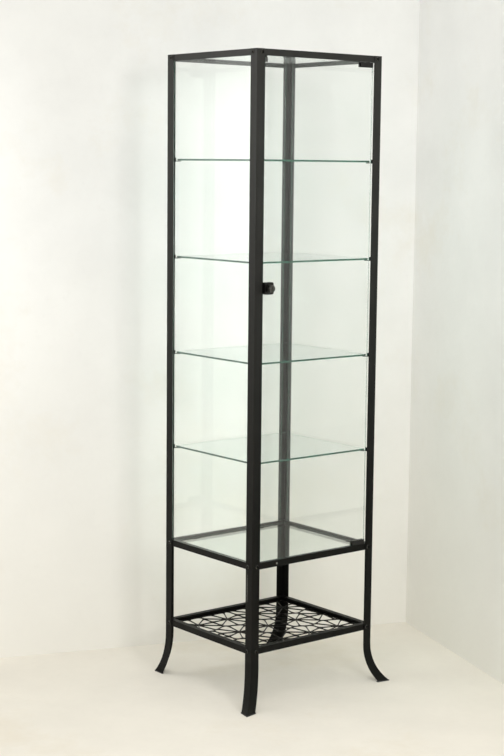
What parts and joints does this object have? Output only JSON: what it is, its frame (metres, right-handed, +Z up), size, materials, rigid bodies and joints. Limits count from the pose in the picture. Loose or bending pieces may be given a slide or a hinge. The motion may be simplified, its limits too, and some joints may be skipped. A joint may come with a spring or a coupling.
{
  "type": "glass display case",
  "caption": "Tall glass display case with a hinged, lockable door, glass shelves and a black angle-steel frame on flared legs over an openwork floral rack.",
  "frame": {"origin": "middle of the feet's outer box, on the floor", "axes": "+Z up; the door faces -Y; +X is to the right seen from the front"},
  "size_m": [0.537, 0.492, 1.8055],
  "materials": {
    "black_steel": "satin black powder coat",
    "clear_glass": "clear, slightly green at the edges",
    "black_rubber": "matte",
    "dark_fittings": "semi-gloss black",
    "bright_metal": "polished nickel"
  },
  "bodies": {
    "cabinet": {"door_stop": "black_steel", "door_stop_bumper": "black_rubber", "floor_glass": "clear_glass", "front_rail_screw": "bright_metal", "grille": "black_steel", "hinge_lug": "black_steel", "left_glass": "clear_glass", "lower_rail_front": "black_steel", "lower_rail_left": "black_steel", "lower_rail_rear": "black_steel", "lower_rail_right": "black_steel", "middle_rail_front": "black_steel", "middle_rail_left": "black_steel", "middle_rail_rear": "black_steel", "middle_rail_right": "black_steel", "post_front_left": "black_steel", "post_front_right": "black_steel", "post_rear_left": "black_steel", "post_rear_right": "black_steel", "rear_glass": "clear_glass", "right_glass": "clear_glass", "shelf_1": "clear_glass", "shelf_1_support_front_left": "dark_fittings", "shelf_1_support_front_right": "dark_fittings", "shelf_1_support_rear_left": "dark_fittings", "shelf_1_support_rear_right": "dark_fittings", "shelf_2": "clear_glass", "shelf_2_support_front_left": "dark_fittings", "shelf_2_support_front_right": "dark_fittings", "shelf_2_support_rear_left": "dark_fittings", "shelf_2_support_rear_right": "dark_fittings", "shelf_3": "clear_glass", "shelf_3_support_front_left": "dark_fittings", "shelf_3_support_front_right": "dark_fittings", "shelf_3_support_rear_left": "dark_fittings", "shelf_3_support_rear_right": "dark_fittings", "shelf_4": "clear_glass", "shelf_4_support_front_left": "dark_fittings", "shelf_4_support_front_right": "dark_fittings", "shelf_4_support_rear_left": "dark_fittings", "shelf_4_support_rear_right": "dark_fittings", "sole_front_left": "black_rubber", "sole_front_right": "black_rubber", "sole_rear_left": "black_rubber", "sole_rear_right": "black_rubber", "top_glass": "clear_glass", "top_rail_front": "black_steel", "top_rail_left": "black_steel", "top_rail_rear": "black_steel", "top_rail_right": "black_steel"},
    "door": {"door_glass": "clear_glass", "hinge_clip_bottom": "black_steel", "hinge_clip_top": "black_steel", "hinge_pin_bottom": "dark_fittings", "hinge_pin_top": "dark_fittings", "lock_backplate": "black_steel", "lock_housing": "black_steel"},
    "lock_barrel": {"lock_cylinder": "dark_fittings", "lock_cam": "bright_metal", "lock_nut": "bright_metal"}
  },
  "joints": [
    {"name": "door_hinge", "type": "hinge", "parent": "cabinet", "child": "door", "pos_m": [0.18, -0.20044, 0.417], "axis": [0, 0, 1], "range_deg": [0, 105]},
    {"name": "lock_turn", "type": "hinge", "parent": "door", "child": "lock_barrel", "pos_m": [-0.1845, -0.20824, 1.1705], "axis": [0, 1, 0], "range_deg": [0, 180]}
  ]
}
